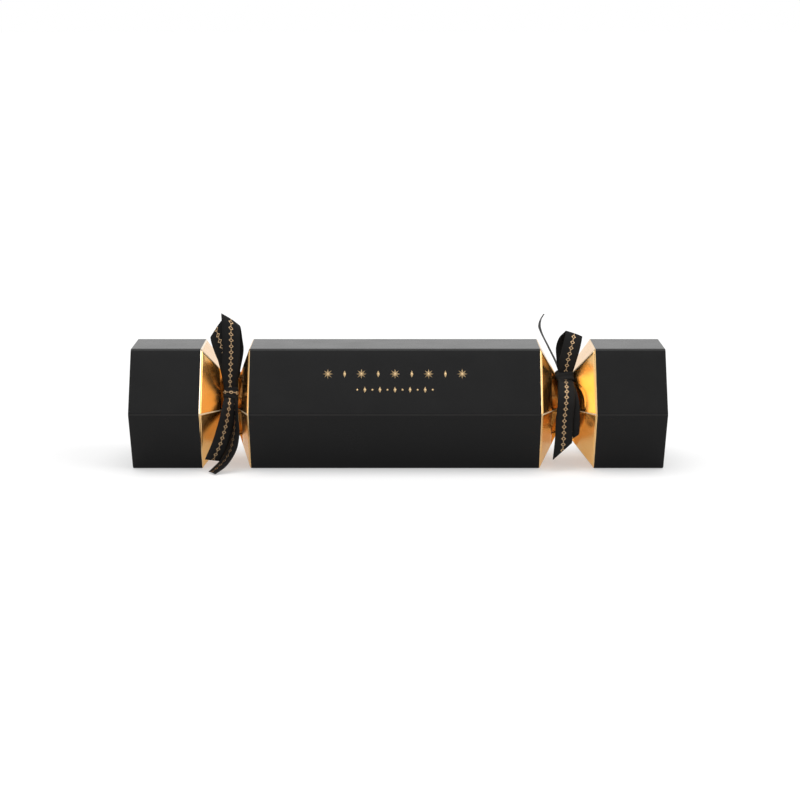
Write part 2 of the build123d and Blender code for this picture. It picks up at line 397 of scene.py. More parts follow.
def candle_wax():
    """Poured ivory wax, slightly clouded."""
    wax = Finish("candle wax", {"Subsurface Weight": 0.35, "Subsurface Scale": 0.004})
    where = wax.place()
    bloom = wax.cloud(where, scale=55, detail=4)
    pits = wax.cloud(where, scale=700, detail=2)
    wax.set({
        "Base Color": wax.mix(bloom, hue(0.80, 0.72, 0.57), hue(0.88, 0.83, 0.71)),
        "Roughness": 0.38 + bloom * 0.2,
        "Normal": wax.bump(bloom + pits * 0.1, distance=0.25 * MM),
    })
    return wax.material


def braided_cotton():
    """White cotton braid, wound in two crossing lays, painted darker in the grooves between its
    strands: painted shade.
    """
    cotton = Finish("wick cotton", {"Sheen Weight": 0.3})
    x, y, z = cotton.axes(cotton.place())
    wind = axis_angle(y, z) * 2
    lay = x * (tau / (1.4 * MM))
    braid = (wind + lay).maths("SINE") * (wind - lay).maths("SINE")
    # The colour follows the braid's relief: painted shade in the grooves between the strands
    light = cotton.fade(braid, start=-0.8, end=0.8)
    cotton.set({
        "Base Color": cotton.mix(light, hue(0.62, 0.58, 0.50), hue(0.86, 0.84, 0.78)),
        "Roughness": 0.85 - braid * 0.05,
        "Normal": cotton.bump(braid, distance=0.15 * MM),
    })
    return cotton.material


def stamped_metal():
    """Thin stamped metal, lightly brushed and dulled in patches."""
    metal = Finish("sustainer metal", {"Metallic": 1.0})
    where = metal.place()
    x, y, z = metal.axes(where)
    drawn = metal.node("ShaderNodeCombineXYZ", None, {0: x * 40, 1: y * 40, 2: z * 1600})
    brush = metal.cloud(drawn, scale=1, detail=3)
    dull = metal.cloud(where, scale=120, detail=3)
    metal.set({
        "Base Color": metal.mix(dull, hue(0.58, 0.58, 0.59), hue(0.76, 0.76, 0.77)),
        "Roughness": 0.24 + dull * 0.2,
        "Normal": metal.bump(brush, distance=0.04 * MM),
    })
    return metal.material


def paper(name, shade, tint, roughness, crease):
    """Thin paper with visible fibre and soft creasing."""
    sheet = Finish(name)
    where = sheet.place()
    fibre = sheet.cloud(where, scale=1100, detail=5)
    fold = sheet.cloud(where, scale=130, detail=3)
    sheet.set({
        "Base Color": sheet.mix(fibre * 0.6 + fold * 0.4, shade, tint),
        "Roughness": roughness + fibre * 0.15,
        "Normal": sheet.bump(fold + fibre * 0.15, distance=crease),
    })
    return sheet.material


def snap_card():
    """Kraft strip with the grey rubbing patch in the middle, under the sleeve."""
    strip = Finish("snap card")
    where = strip.place()
    x, _, _ = strip.axes(where)
    fibre = strip.cloud(where, scale=900, detail=5)
    patch = strip.fade(abs(x), start=12.5 * MM, end=10.5 * MM)
    kraft = strip.mix(fibre, hue(0.36, 0.27, 0.17), hue(0.52, 0.42, 0.29))
    strip.set({
        "Base Color": strip.mix(patch, kraft, hue(0.16, 0.155, 0.15)),
        "Roughness": 0.7 + fibre * 0.2,
        "Normal": strip.bump(fibre * (1 + patch * 2), distance=0.08 * MM),
    })
    return strip.material


# Helpers for the frame and the meshes


def end_span(side):
    """Where an end wrapper starts, at its neck, and where it ends, along X."""
    low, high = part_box(f"{side}_end_wrapper")
    return (low[0], high[0]) if SIDES[side] > 0 else (high[0], low[0])


def pinch_of(side):
    """The middle of the ribbon band that ties a neck."""
    low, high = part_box(f"{side}_ribbon_band")
    return Vector(((low[0] + high[0]) / 2, 0, AXIS))


def dress(node, material):
    """Gives a CAD node its finish."""
    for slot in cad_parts[node].material_slots:
        slot.material = material


def piece_from(bm, name, body, materials, replaced=()):
    """The finished mesh as an object that rides on its body and stands for its CAD nodes."""
    mesh = bpy.data.meshes.new(name)
    bm.to_mesh(mesh)
    bm.free()
    mesh.shade_smooth()
    for material in materials:
        mesh.materials.append(material)
    piece = bpy.data.objects.new(name, mesh)
    bpy.context.collection.objects.link(piece)
    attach(piece, body)
    if replaced:
        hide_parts(*replaced)
    return piece


def add_modifier(piece, kind, **settings):
    modifier = piece.modifiers.new(kind.title(), kind)
    for key, value in settings.items():
        setattr(modifier, key, value)


def ring_matrix(x):
    """Stands a circle up in the section at x, with its first point at the back."""
    return Matrix.Translation((x, 0, AXIS)) @ Matrix.Rotation(radians(-90), 4, "Y")


def new_parts(made, kind):
    return [part for part in made["geom"] if isinstance(part, kind)]


def push_ring(bm, ring, x_move, spread):
    """Extrudes a ring of edges along X and spreads it about the axis: the new ring, its faces."""
    made = bmesh.ops.extrude_edge_only(bm, edges=ring)
    verts = new_parts(made, bmesh.types.BMVert)
    found = set(verts)
    to_axis = Matrix.Translation((0, 0, -AXIS))
    bmesh.ops.scale(bm, vec=(1, spread, spread), space=to_axis, verts=verts)
    bmesh.ops.translate(bm, vec=(x_move, 0, 0), verts=verts)
    edges = [edge for edge in new_parts(made, bmesh.types.BMEdge) if set(edge.verts) <= found]
    return edges, new_parts(made, bmesh.types.BMFace)


def face_outwards(bm):
    """Turns the faces of an open tube away from the axis."""
    bmesh.ops.recalc_face_normals(bm, faces=bm.faces[:])
    axis = Vector((0, 0, AXIS))
    facing = 0.0
    for face in bm.faces:
        facing += face.normal.dot(face.calc_center_median() - axis) * face.calc_area()
    if facing < 0:
        bmesh.ops.reverse_faces(bm, faces=bm.faces[:])


# Card tubes


def fold_ring(bm, x, flat):
    """A hexagon of edges lying on a flat side, with rounded corners and divided panels."""
    made = bmesh.ops.create_circle(
        bm, cap_ends=True, segments=6, radius=flat * CORNER_SHARE, matrix=ring_matrix(x)
    )
    bmesh.ops.bevel(
        bm, geom=made["verts"], affect="VERTICES", offset=CREASE, segments=5, profile=0.5,
        material=-1,
    )
    bmesh.ops.delete(bm, geom=bm.faces[:], context="FACES_ONLY")
    panels = [edge for edge in bm.edges if edge.calc_length() > flat / 2]
    bmesh.ops.subdivide_edges(bm, edges=panels, cuts=7)
    return bm.edges[:]


def card_tube(stations):
    """A folded card wall through a closed run of stations.

    Each is x, the distance of the flats from the axis, and whether the inner face leads up to it.
    """
    bm = bmesh.new()
    x, flat, _ = stations[0]
    first = fold_ring(bm, x, flat)
    ring = first
    for next_x, next_flat, inside in stations[1:]:
        ring, faces = push_ring(bm, ring, next_x - x, next_flat / flat)
        for face in faces:
            face.material_index = int(inside)
        x, flat = next_x, next_flat
    bmesh.ops.bridge_loops(bm, edges=first + ring)
    bmesh.ops.recalc_face_normals(bm, faces=bm.faces[:])
    return bm


def rolled_edge(x, inward):
    """Outer stations where a panel rolls over towards a neck, from the edge at x inwards."""
    turns = [radians(90 - 18 * step) for step in range(6)]
    return [
        (x + inward * ROLL_REACH * (1 - sin(turn)), APOTHEM - ROLL_OVER * (1 - cos(turn)), False)
        for turn in turns
    ]


def even_steps(start, end, count):
    """The points that divide a length in equal steps, without its two ends."""
    return [start + (end - start) * step / count for step in range(1, count)]


def barrel(finishes):
    """The middle tube: both its edges roll over to the necks and end in a raw torn edge."""
    inner = APOTHEM - CARD
    rim = inner - ROLL_OVER
    left = rolled_edge(-HALF_BARREL, 1)
    right = rolled_edge(HALF_BARREL, -1)[::-1]
    outer = [(x, APOTHEM, False) for x in even_steps(left[-1][0], right[0][0], 12)]
    level = HALF_BARREL - LINING_SETBACK
    lining = [(HALF_BARREL, rim, True), (level, inner, True)]
    lining += [(x, inner, True) for x in even_steps(level, -level, 6)]
    lining += [(-level, inner, True), (-HALF_BARREL, rim, True)]
    bm = card_tube(left + outer + right + lining)
    piece = piece_from(bm, "barrel_card", "barrel", finishes, ["barrel_wrapper"])
    add_modifier(piece, "WEIGHTED_NORMAL", weight=FLAT_FACE_WEIGHT)


def grip(side, finishes):
    """An end tube: rolled over at the neck, and folded in at its outer edge over a glued lip."""
    sign = SIDES[side]
    near, far = end_span(side)
    inner = APOTHEM - CARD
    fold = CARD
    lip = inner - CARD
    lip_end = far - sign * TURN_IN
    stations = rolled_edge(near, sign)
    stations += [
        (x, APOTHEM, False) for x in even_steps(stations[-1][0], far - sign * fold, 5)
    ]
    for step in range(9):
        turn = pi * step / 8
        x, flat = far - sign * fold * (1 - sin(turn)), APOTHEM - fold * (1 - cos(turn))
        stations.append((x, flat, False))
    stations += [(far - sign * TURN_IN * part, lip, False) for part in (0.35, 0.7, 1.0)]
    stations += [(lip_end, inner - LIP_STEP, False)]
    stations += [(x, inner, True) for x in even_steps(lip_end - sign * MM, near, 4)]
    stations += [
        (near + sign * LINING_SETBACK, inner, True), (near, inner - ROLL_OVER, True),
    ]
    piece = piece_from(
        card_tube(stations), f"{side}_grip_card", f"{side}_end", finishes,
        [f"{side}_end_wrapper"],
    )
    add_modifier(piece, "WEIGHTED_NORMAL", weight=FLAT_FACE_WEIGHT)


# Pleated necks


def spread_star(verts, corner, middle):
    """Moves a ring of twelve points to a star: even ones out to corner, odd ones to middle."""
    for number, vert in enumerate(verts):
        arm = Vector((0, vert.co.y, vert.co.z - AXIS)).normalized()
        arm *= middle if number % 2 else corner
        vert.co.y, vert.co.z = arm.y, AXIS + arm.z


def ordered_ring(bm, x):
    """The points of the ring at x in order round the axis."""

    def turn(vert):
        return round(Vector((vert.co.y, vert.co.z - AXIS)).angle_signed((1, 0)) % tau, 4)

    return sorted((vert for vert in bm.verts if abs(vert.co.x - x) < WELD), key=turn)


def bend_panels(rim, bend, throat, shares):
    """Sets the fold across which a cone's flat panels turn in to the pinch."""
    for number, share in enumerate(shares):
        bend[number * 2].co = rim[number * 2].co.lerp(throat[number * 2].co, share)
    for number in range(1, len(bend), 2):
        bend[number].co = (bend[number - 1].co + bend[(number + 1) % len(bend)].co) / 2


def crease_panels(bm, rings, folds, worn):
    """Folds each panel in to the pinch, sharpens the folds and marks the ridges, which wear."""
    near_rim, near_bend, near_throat, far_throat, far_bend, far_rim = rings
    corners = near_bend[0::2] + far_bend[0::2]
    middles = near_bend[1::2] + far_bend[1::2]
    valleys = near_throat[1::2] + far_throat[1::2]
    bmesh.ops.connect_verts(bm, verts=corners + valleys)
    flat_joins = {frozenset(pair) for pair in zip(near_rim[1::2] + far_rim[1::2], middles)}
    flat_joins |= {frozenset(pair) for pair in zip(middles, valleys)}
    for ring in rings:
        for vert in ring[0::2]:
            vert[worn] = 1.0
    bent = set(near_bend + far_bend)
    for edge in bm.edges:
        if frozenset(edge.verts) not in flat_joins:
            edge[folds] = BEND_CREASE if set(edge.verts) <= bent else RIDGE_CREASE


def neck(side, foil, lining):
    """One sheet of foiled card, pinched from six flat panels to a star and out again."""
    sign = SIDES[side]
    pinch = pinch_of(side).x
    near = sign * (HALF_BARREL + TEAR_GAP)
    far = end_span(side)[0] + sign * GRIP_LAP
    rim = APOTHEM - ROLL_OVER
    throat = [pinch - sign * HALF_THROAT, pinch + sign * HALF_THROAT]
    bends = [(near + throat[0]) / 2, (throat[1] + far) / 2]
    stations = [near, bends[0], *throat, bends[1], far]
    bm = bmesh.new()
    folds = bm.edges.layers.float.new("crease_edge")
    worn = bm.verts.layers.float.new("fold")
    bmesh.ops.create_circle(bm, segments=12, radius=rim, matrix=ring_matrix(near))
    ring = bm.edges[:]
    for start, end in zip(stations, stations[1:]):
        ring, _ = push_ring(bm, ring, end - start, 1)
    rings = [ordered_ring(bm, x) for x in stations]
    near_rim, near_bend, near_throat, far_throat, far_bend, far_rim = rings
    spread_star(near_rim, (rim - TEAR_GAP) * CORNER_SHARE, rim - TEAR_GAP)
    spread_star(far_rim, rim * CORNER_SHARE, rim)
    for points in (near_throat, far_throat):
        spread_star(points, RIDGE, VALLEY)
    near_shares, far_shares = FLAT_SHARES[side]
    bend_panels(near_rim, near_bend, near_throat, near_shares)
    bend_panels(far_rim, far_bend, far_throat, far_shares)
    crease_panels(bm, rings, folds, worn)
    bmesh.ops.subdivide_edges(bm, edges=bm.edges[:], cuts=FOIL_CUTS, use_grid_fill=True)
    for vert in bm.verts:
        if not vert.is_boundary:
            vert.co += noise.noise_vector(vert.co * RIPPLE_SCALE) * RIPPLE_HEIGHT
    face_outwards(bm)
    piece = piece_from(
        bm, f"{side}_neck_foil", f"{side}_end", [foil, lining],
        [f"{side}_neck_pleats"],
    )
    add_modifier(piece, "SUBSURF", levels=FOIL_LEVELS, render_levels=FOIL_LEVELS)
    add_modifier(piece, "SOLIDIFY", thickness=FOIL_CARD, offset=-1, material_offset=1)


# Ribbons


def spline_point(values, reach, distance):
    """The value some way along a run, smoothly through the values set at its stations."""
    last = len(values) - 1
    span = next(
        number for number in range(1, last + 1) if distance <= reach[number] or number == last
    )
    length = reach[span] - reach[span - 1]
    part = (distance - reach[span - 1]) / length

    def slope(number):
        if number in (0, last):
            step = 1 if number == 0 else last
            return (values[step] - values[step - 1]) / (reach[step] - reach[step - 1])
        before, after = reach[number] - reach[number - 1], reach[number + 1] - reach[number]
        came = (values[number] - values[number - 1]) / before
        goes = (values[number + 1] - values[number]) / after
        return (came * after + goes * before) / (before + after)

    ease = part * part * (3 - 2 * part)
    lead_in = part * (1 - part) ** 2 * length
    lead_out = -part * part * (1 - part) * length
    through = values[span - 1] * (1 - ease) + values[span] * ease
    return through + slope(span - 1) * lead_in + slope(span) * lead_out


def ribbon_grid(bm, weave, rows, columns, middle, half):
    """A grid from -1 to 1 each way, to be laid as ribbon, with its weave run out along it."""
    verts = bmesh.ops.create_grid(bm, x_segments=rows, y_segments=columns, size=1)["verts"]
    faces = list(dict.fromkeys(face for vert in verts for face in vert.link_faces))
    for face in faces:
        for loop in face.loops:
            loop[weave].uv = (middle + half * loop.vert.co.x, loop.vert.co.y)
    return verts, faces


def lay_strip(bm, weave, pinch, points, shows, cup=0.35, cut=None):
    """A length of ribbon through (along, across, up, half-width vector) stations from the pinch.

    Stations are in mm, and so is cup, the rise of the ribbon's middle. shows is 1 where the
    printed face lies to the right of the width and -1 where it lies to the left. cut is a point
    and a direction: what lies beyond the point is cut off.
    """
    centres = [Vector(point[:3]) * MM for point in points]
    halves = [Vector(point[3:]) * MM for point in points]
    reach = [0.0]
    for before, after in zip(centres, centres[1:]):
        reach.append(reach[-1] + (after - before).length)
    rows = max(12, int(reach[-1] / RIBBON_ROW))
    half_length = reach[-1] / 2
    verts, faces = ribbon_grid(bm, weave, rows, RIBBON_COLUMNS, half_length, half_length)
    for vert in verts:
        distance, share = (vert.co.x + 1) / 2 * reach[-1], vert.co.y
        half = spline_point(halves, reach, distance)
        ahead = spline_point(centres, reach, min(distance + LOOK_AHEAD, reach[-1]))
        behind = spline_point(centres, reach, max(distance - LOOK_AHEAD, 0))
        face_out = (ahead - behind).cross(half).normalized()
        wave = noise.noise(Vector((distance * WAVE_SCALE, share * 0.6, points[0][0] * 3)))
        lift = (cup * (1 - share * share) + wave * WAVE_HEIGHT) * MM
        centre = pinch + spline_point(centres, reach, distance)
        vert.co = centre + half * share - face_out * lift * shows
    if shows > 0:
        bmesh.ops.reverse_faces(bm, faces=faces)
    if cut:
        middle, away = (Vector(value) for value in cut)
        edges = list(dict.fromkeys(edge for face in faces for edge in face.edges))
        bmesh.ops.bisect_plane(
            bm, geom=faces + edges + verts, plane_co=pinch + middle * MM, plane_no=away,
            clear_outer=True,
        )


def wind_band(bm, weave, pinch):
    """The ribbon bunched into folds, once round the pinch."""
    verts, _ = ribbon_grid(
        bm, weave, rows=120, columns=16, middle=0, half=pi * BAND_RADIUS
    )
    for vert in verts:
        turn, share = vert.co.x * pi, vert.co.y
        fold = 3.2 * pi * share + 0.7 * sin(turn * 2) + 0.5 * sin(turn * 3 + 1)
        radius = BAND_RADIUS + BAND_FOLD * cos(fold)
        spread = BAND_HALF_WIDTH * share * (1 + 0.1 * sin(turn * 3))
        slip = spread + BAND_WANDER * sin(turn * 2 + 0.6)
        vert.co = pinch + Vector((slip, radius * cos(turn), radius * sin(turn)))
    bmesh.ops.remove_doubles(bm, verts=verts, dist=WELD)


def wrap_knot(bm, weave, pinch, middle, outward, lean, size, back_shows):
    """The turn of ribbon that closes the knot: flat behind, its ends turned up over the cones.

    Its form is in mm before size scales it. back_shows turns the unprinted face out.
    """
    out = Vector(outward).normalized()
    along = Matrix.Rotation(radians(lean), 3, out) @ Vector((1, 0, 0))
    up = out.cross(along)
    verts, faces = ribbon_grid(
        bm, weave, rows=64, columns=14, middle=3.2 * MM, half=11.5 * MM
    )
    for face in faces:
        face.material_index = int(back_shows)
    for vert in verts:
        turn, share = vert.co.x * pi, vert.co.y
        fold = 0.22 * cos(2.6 * pi * share + 0.9 * sin(turn))
        wide = 4.3 - 0.9 * share * share + fold
        deep = 2.5 - 0.6 * share * share + fold
        tall = 3.5 * share * (1 + 0.12 * sin(turn)) + 0.5 * cos(turn)
        reach, depth = wide * sin(turn), deep * max(cos(turn), 0.3 * cos(turn))
        offset = along * reach + out * (depth + 0.09 * reach * reach) + up * tall
        vert.co = pinch + (Vector(middle) + offset * size) * MM
    bmesh.ops.remove_doubles(bm, verts=verts, dist=WELD)
    bmesh.ops.recalc_face_normals(bm, faces=[face for face in faces if face.is_valid])


# The loops and tails of each ribbon, named as in the CAD model, from the knot outwards
LEFT_RUNS = {
    "upright_loop": dict(shows=1, points=[
        (-1.4, -19.6, 9.5, 3.2, 0, 0), (-1.6, -20.6, 15, 4.0, 0.3, -0.2),
        (-1.2, -21.0, 24, 5.0, 0.3, -0.1), (-0.7, -20.5, 35, 5.0, 0.2, -0.2),
        (-0.9, -18.7, 44.3, 5.1, 0.1, -1.8), (-1.2, -15.7, 50.4, 5.3, 0, -3.4),
        (-1.3, -14.2, 51.2, 5.3, 0, -3.6), (-1.1, -12.6, 50.0, 5.3, 0, -3.4),
        (0.1, -10.2, 41, 5.0, 0.4, -2.0), (0.7, -10.0, 34, 5.0, 0.6, -0.6),
        (-0.5, -12.6, 23, 4.6, 0.3, 0), (-1.4, -17.0, 13, 3.4, 0, 0),
    ]),
    "side_loop": dict(shows=1, points=[
        (-2.2, -18.8, 9.5, 3.0, 0.2, 0.5), (-1.9, -19.2, 16.5, 3.6, 0.5, 0.8),
        (-2.3, -18.6, 24.5, 4.4, 0.8, 1.4), (-6.1, -17.4, 35.0, 4.5, 0.9, 2.0),
        (-8.9, -15.2, 43.4, 3.8, 0.5, 4.2), (-9.6, -13.6, 46.0, 3.45, 0.2, 5.15),
        (-9.2, -12.2, 44.6, 3.6, 0, 4.9), (-6.9, -10.6, 36, 4.2, -0.6, 2.6),
        (-4.1, -13.2, 26, 4.4, -0.4, 1.0), (-2.6, -17.4, 15, 3.2, 0, 0.4),
    ]),
    "front_tail": dict(shows=-1, points=[
        (-1.6, -19.6, 9.0, 3.2, 0, 0), (-1.9, -23.2, 5.0, 3.5, 0.8, -0.4),
        (-2.8, -26.8, -2.5, 3.9, 2.2, -0.9), (-4.6, -27.8, -10.5, 4.3, 2.2, -1.0),
        (-7.5, -29.0, -19.5, 4.4, 2.2, -1.0), (-11.5, -30.4, -28.1, 4.2, 2.4, -0.95),
    ]),
    "long_tail": dict(shows=-1, points=[
        (-0.6, -19.0, 8.6, 2.5, -1.0, 0), (0.7, -22.4, 4.5, 2.2, -3.4, 0.5),
        (1.3, -24.0, -3.5, 2.1, -4.3, 0.2), (1.0, -26.4, -13.5, 3.0, -4.0, -0.2),
        (-0.7, -28.8, -21.8, 3.4, -3.6, 0.8), (-3.8, -31.0, -27.6, 3.4, -3.4, 0.9),
        (-7.6, -33.6, -31.6, 3.5, -3.3, 0.6), (-11.5, -36.6, -34.3, 2.2, -3.6, 0),
    ]),
}
RIGHT_RUNS = {
    "upright_loop": dict(shows=1, points=[
        (1.2, -12.8, 18.0, 3.2, 0, -0.6), (1.8, -13.8, 21.5, 4.2, 0.4, -0.4),
        (2.9, -14.2, 27.5, 4.9, 0.3, -0.6), (4.5, -13.0, 33.5, 5.0, 0.2, -1.0),
        (6.3, -9.8, 40.3, 4.8, 0.1, -1.6), (6.7, -8.0, 42.1, 4.75, 0, -1.7),
        (6.1, -6.4, 41.2, 4.8, 0, -1.6), (3.5, -4.2, 38.6, 5.0, -0.3, -0.8),
        (1.8, -3.6, 34.5, 5.0, -0.4, 0), (1.6, -5.0, 28, 4.8, -0.4, 0.4),
        (1.4, -10.4, 20, 3.6, 0, 0),
    ]),
    "upright_tail": dict(shows=-1, cup=0.2, points=[
        (-1.2, -10.6, 19.0, 0.8, 3.4, -0.4), (-3.0, -7.6, 23.9, 0.75, 4.4, -0.6),
        (-8.0, -5.4, 34.3, 0.7, 4.9, -0.7), (-12.4, -5.0, 43.4, 0.8, 4.9, -0.6),
        (-13.1, -5.0, 45.6, 0.95, 4.9, -0.5), (-12.3, -5.0, 50.4, 0.75, 4.9, -0.6),
        (-10.6, -5.0, 53.1, 0.6, 4.9, -0.7),
    ]),
    "front_tail": dict(shows=-1, cut=((-1.0, -30, -23.2), (0.676, 0, -0.737)), points=[
        (1.2, -13.6, 17.0, 3.4, 0, -0.8), (1.6, -19.0, 15.8, 4.3, 0, -0.6),
        (1.7, -25.0, 11.0, 4.9, 0, 0), (1.2, -28.6, 4.5, 4.95, 0, 0),
        (0.3, -29.6, -4.0, 4.95, 0, 0), (-0.1, -30.2, -14.0, 4.95, 0, 0),
        (-1.1, -30.4, -30, 5.4, 0, 0),
    ]),
    "hanging_loop": dict(shows=-1, points=[
        (1.4, -13.6, 15.6, 2.6, -0.4, -0.4), (3.2, -19.6, 12.6, 3.6, -1.2, 0),
        (4.4, -25.0, 7.0, 4.1, -2.0, 0), (4.5, -27.4, 0, 4.2, -2.3, 0),
        (4.3, -27.8, -8.0, 4.2, -2.2, 0), (4.4, -27.6, -13.6, 4.0, -2.0, 1.6),
        (4.6, -27.0, -16.2, 3.9, -1.9, 2.8), (4.9, -26.4, -14.0, 4.0, -2.0, 1.6),
        (4.9, -26.2, -7.0, 4.2, -2.1, 0), (4.8, -26.0, 0, 4.2, -2.3, 0),
        (4.5, -23.0, 6.4, 4.0, -1.8, 0), (3.2, -18.2, 11.6, 3.4, -1.0, 0),
        (1.4, -12.6, 14.8, 2.5, -0.4, 0),
    ]),
}
LEFT_KNOT = dict(
    middle=(-1.2, -19.6, 8.7), outward=(0, -0.94, 0.34), lean=-4, size=1.0, back_shows=False
)
RIGHT_KNOT = dict(
    middle=(0.9, -13.2, 17.2), outward=(0, -0.74, 0.67), lean=18, size=1.22, back_shows=True
)


def tied_ribbon(side, runs, knot, finishes):
    """One ribbon round a pinch: its loops and tails, the bunched band and the knot."""
    pinch = pinch_of(side)
    bm = bmesh.new()
    weave = bm.loops.layers.uv.new("ribbon")
    for run in runs.values():
        lay_strip(bm, weave, pinch, **run)
    wind_band(bm, weave, pinch)
    wrap_knot(bm, weave, pinch, **knot)
    stands_for = [f"{side}_ribbon_{name}" for name in (*runs, "band", "knot")]
    piece = piece_from(
        bm, f"{side}_ribbon", f"{side}_end", finishes, stands_for
    )
    add_modifier(piece, "SOLIDIFY", thickness=RIBBON_THICKNESS, offset=0, material_offset=1)


# Stamped ornament on the front panel


def panel_matrix():
    """The upper front panel: X along the barrel, Y up its slope and Z out of the card."""
    slope = Matrix.Rotation(PANEL_ANGLE, 4, "X")
    return Matrix.Translation((0, 0, AXIS)) @ slope @ Matrix.Translation((0, 0, APOTHEM))


def stamp_shape(bm, shape, along, up):
    """A flat star of gold leaf, raised by its own thickness on the panel."""
    points, outer, inner = shape
    made = bmesh.ops.create_circle(bm, cap_ends=True, segments=points * 2, radius=outer)
    for vert in made["verts"][1::2]:
        vert.co *= inner / outer
    face = made["verts"][0].link_faces[0]
    lifted = bmesh.ops.extrude_face_region(bm, geom=[face])
    raised = new_parts(lifted, bmesh.types.BMVert)
    bmesh.ops.translate(bm, vec=(0, 0, STAMP_RELIEF), verts=raised)
    place = panel_matrix() @ Matrix.Translation((along, up, STAMP_CLEARANCE))
    bmesh.ops.transform(bm, matrix=place, verts=made["verts"] + raised)


def panel_ornament(leaf):
    """A row of stars and lozenges, with a shorter row of small lozenges and dots below it."""
    bm = bmesh.new()
    for up, pitch, steps, even_shape, odd_shape in STAMPED_ROWS:
        for step in range(-steps, steps + 1):
            stamp_shape(bm, odd_shape if step % 2 else even_shape, step * pitch, up)
    bmesh.ops.recalc_face_normals(bm, faces=bm.faces[:])
    piece_from(bm, "panel_ornament", "barrel", [leaf])


# Gift


def turned(name, body, material, profile, foot, axis, node):
    """A piece turned about a candle's axis from its (height, radius) profile in mm."""
    bm = bmesh.new()
    verts = [bm.verts.new((height * MM, 0, radius * MM)) for height, radius in profile]
    edges = [bm.edges.new(pair) for pair in zip(verts, verts[1:])]
    bmesh.ops.spin(
        bm, geom=verts + edges, cent=(0, 0, 0), axis=(1, 0, 0), angle=tau, steps=TURNED_STEPS,
        use_merge=True,
    )
    bmesh.ops.remove_doubles(bm, verts=bm.verts[:], dist=TURNED_WELD)
    bmesh.ops.recalc_face_normals(bm, faces=bm.faces[:])
    bmesh.ops.translate(bm, vec=(foot, axis[0], axis[1]), verts=bm.verts[:])
    piece = piece_from(bm, name, body, [material], [node])
    add_modifier(piece, "WEIGHTED_NORMAL", weight=TURNED_FACE_WEIGHT)


def candle(number, finishes):
    """A jar candle: pressed glass with a rounded rim, poured wax, and its wick on a metal foot.

    The jar's profile runs from under its foot, over the rim, to the floor inside.
    """
    body = f"candle_{number}"
    low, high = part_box(f"{body}_glass")
    axis = ((low[1] + high[1]) / 2, (low[2] + high[2]) / 2)
    tall, wide = (high[0] - low[0]) / MM, (high[2] - low[2]) / 2 / MM
    jar = [
        (0.9, 0), (0.9, wide - 10), (0.5, wide - 7), (0, wide - 5), (0, wide - 3),
        (0.5, wide - 1.1), (1.8, wide - 0.2), (3, wide), (tall - 1.2, wide),
        (tall - 0.5, wide - 0.25), (tall, wide - 0.95), (tall - 0.15, wide - 1.6),
        (tall - 0.7, wide - 2.05), (tall - 1.6, wide - 2.2), (6, wide - 2.2),
        (4.6, wide - 2.7), (4, wide - 4), (4, 0),
    ]
    turned(f"{body}_jar", body, finishes["glass"], jar, low[0], axis, f"{body}_glass")
    low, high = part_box(f"{body}_wax")
    deep, wide = (high[0] - low[0]) / MM, (high[2] - low[2]) / 2 / MM
    fill = [
        (0.6, 0.9), (0.6, wide - 1.6), (1.2, wide - 0.5), (2.4, wide), (deep, wide),
        (deep - 0.4, wide - 0.5), (deep - 0.9, wide - 2.2), (deep - 1.0, 8), (deep - 1.2, 3),
        (deep - 0.5, 0.95), (0.6, 0.9),
    ]
    turned(f"{body}_fill", body, finishes["wax"], fill, low[0], axis, f"{body}_wax")
    dress(f"{body}_wick", finishes["wick"])
    dress(f"{body}_sustainer", finishes["sustainer"])


def rolled_sheet(name, body, material, node, turns, points):
    """A sheet of paper rolled up where its CAD roll lies, with points a turn cut in one end."""
    low, high = (Vector(corner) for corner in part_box(node))
    middle = (low + high) / 2
    outer = (high.z - low.z) / 2 - ROLL_CLEARANCE
    inner = outer * ROLL_CORE
    bm = bmesh.new()
    made = bmesh.ops.create_grid(bm, x_segments=ROLL_STEPS * turns, y_segments=10, size=1)
    for vert in made["verts"]:
        share, end = (vert.co.x + 1) / 2, (vert.co.y + 1) / 2
        turn = tau * turns * share
        radius = inner + (outer - inner) * share
        tooth = abs((share * turns * points) % 1 - 0.5) * 2 if points else 0
        start = low.x + tooth * CROWN_POINT
        x = start + (high.x - start) * end
        vert.co = (x, middle.y + radius * cos(turn), middle.z + radius * sin(turn))
    bmesh.ops.recalc_face_normals(bm, faces=bm.faces[:])
    piece = piece_from(bm, name, body, [material], [node])
    add_modifier(piece, "SOLIDIFY", thickness=ROLLED_PAPER, offset=0)


# Studio


def place_camera():
    camera = bpy.data.objects.new("camera", bpy.data.cameras.new("camera"))
    camera.data.lens = LENS
    camera.data.sensor_width = SENSOR
    back = Vector((0, -cos(CAMERA_RISE), sin(CAMERA_RISE)))
    camera.location = CAMERA_TARGET + back * CAMERA_DISTANCE
    camera.rotation_euler = (pi / 2 - CAMERA_RISE, 0, 0)
    bpy.context.collection.objects.link(camera)
    bpy.context.scene.camera = camera


def seen_white(tree):
    """1 for the rays that should find a white background: seen, mirrored or through glass."""
    outputs = tree.nodes.new("ShaderNodeLightPath").outputs
    total = outputs["Is Camera Ray"]
    for name in ("Is Glossy Ray", "Is Transmission Ray"):
        either = tree.nodes.new("ShaderNodeMath")
        either.operation = "MAXIMUM"
        tree.links.new(total, either.inputs[0])
        tree.links.new(outputs[name], either.inputs[1])
        total = either.outputs[0]
    return total


def scaled(tree, socket, factor, offset):
    node = tree.nodes.new("ShaderNodeMath")
    node.operation = "MULTIPLY_ADD"
    tree.links.new(socket, node.inputs[0])
    node.inputs[1].default_value = factor
    node.inputs[2].default_value = offset
    return node.outputs[0]


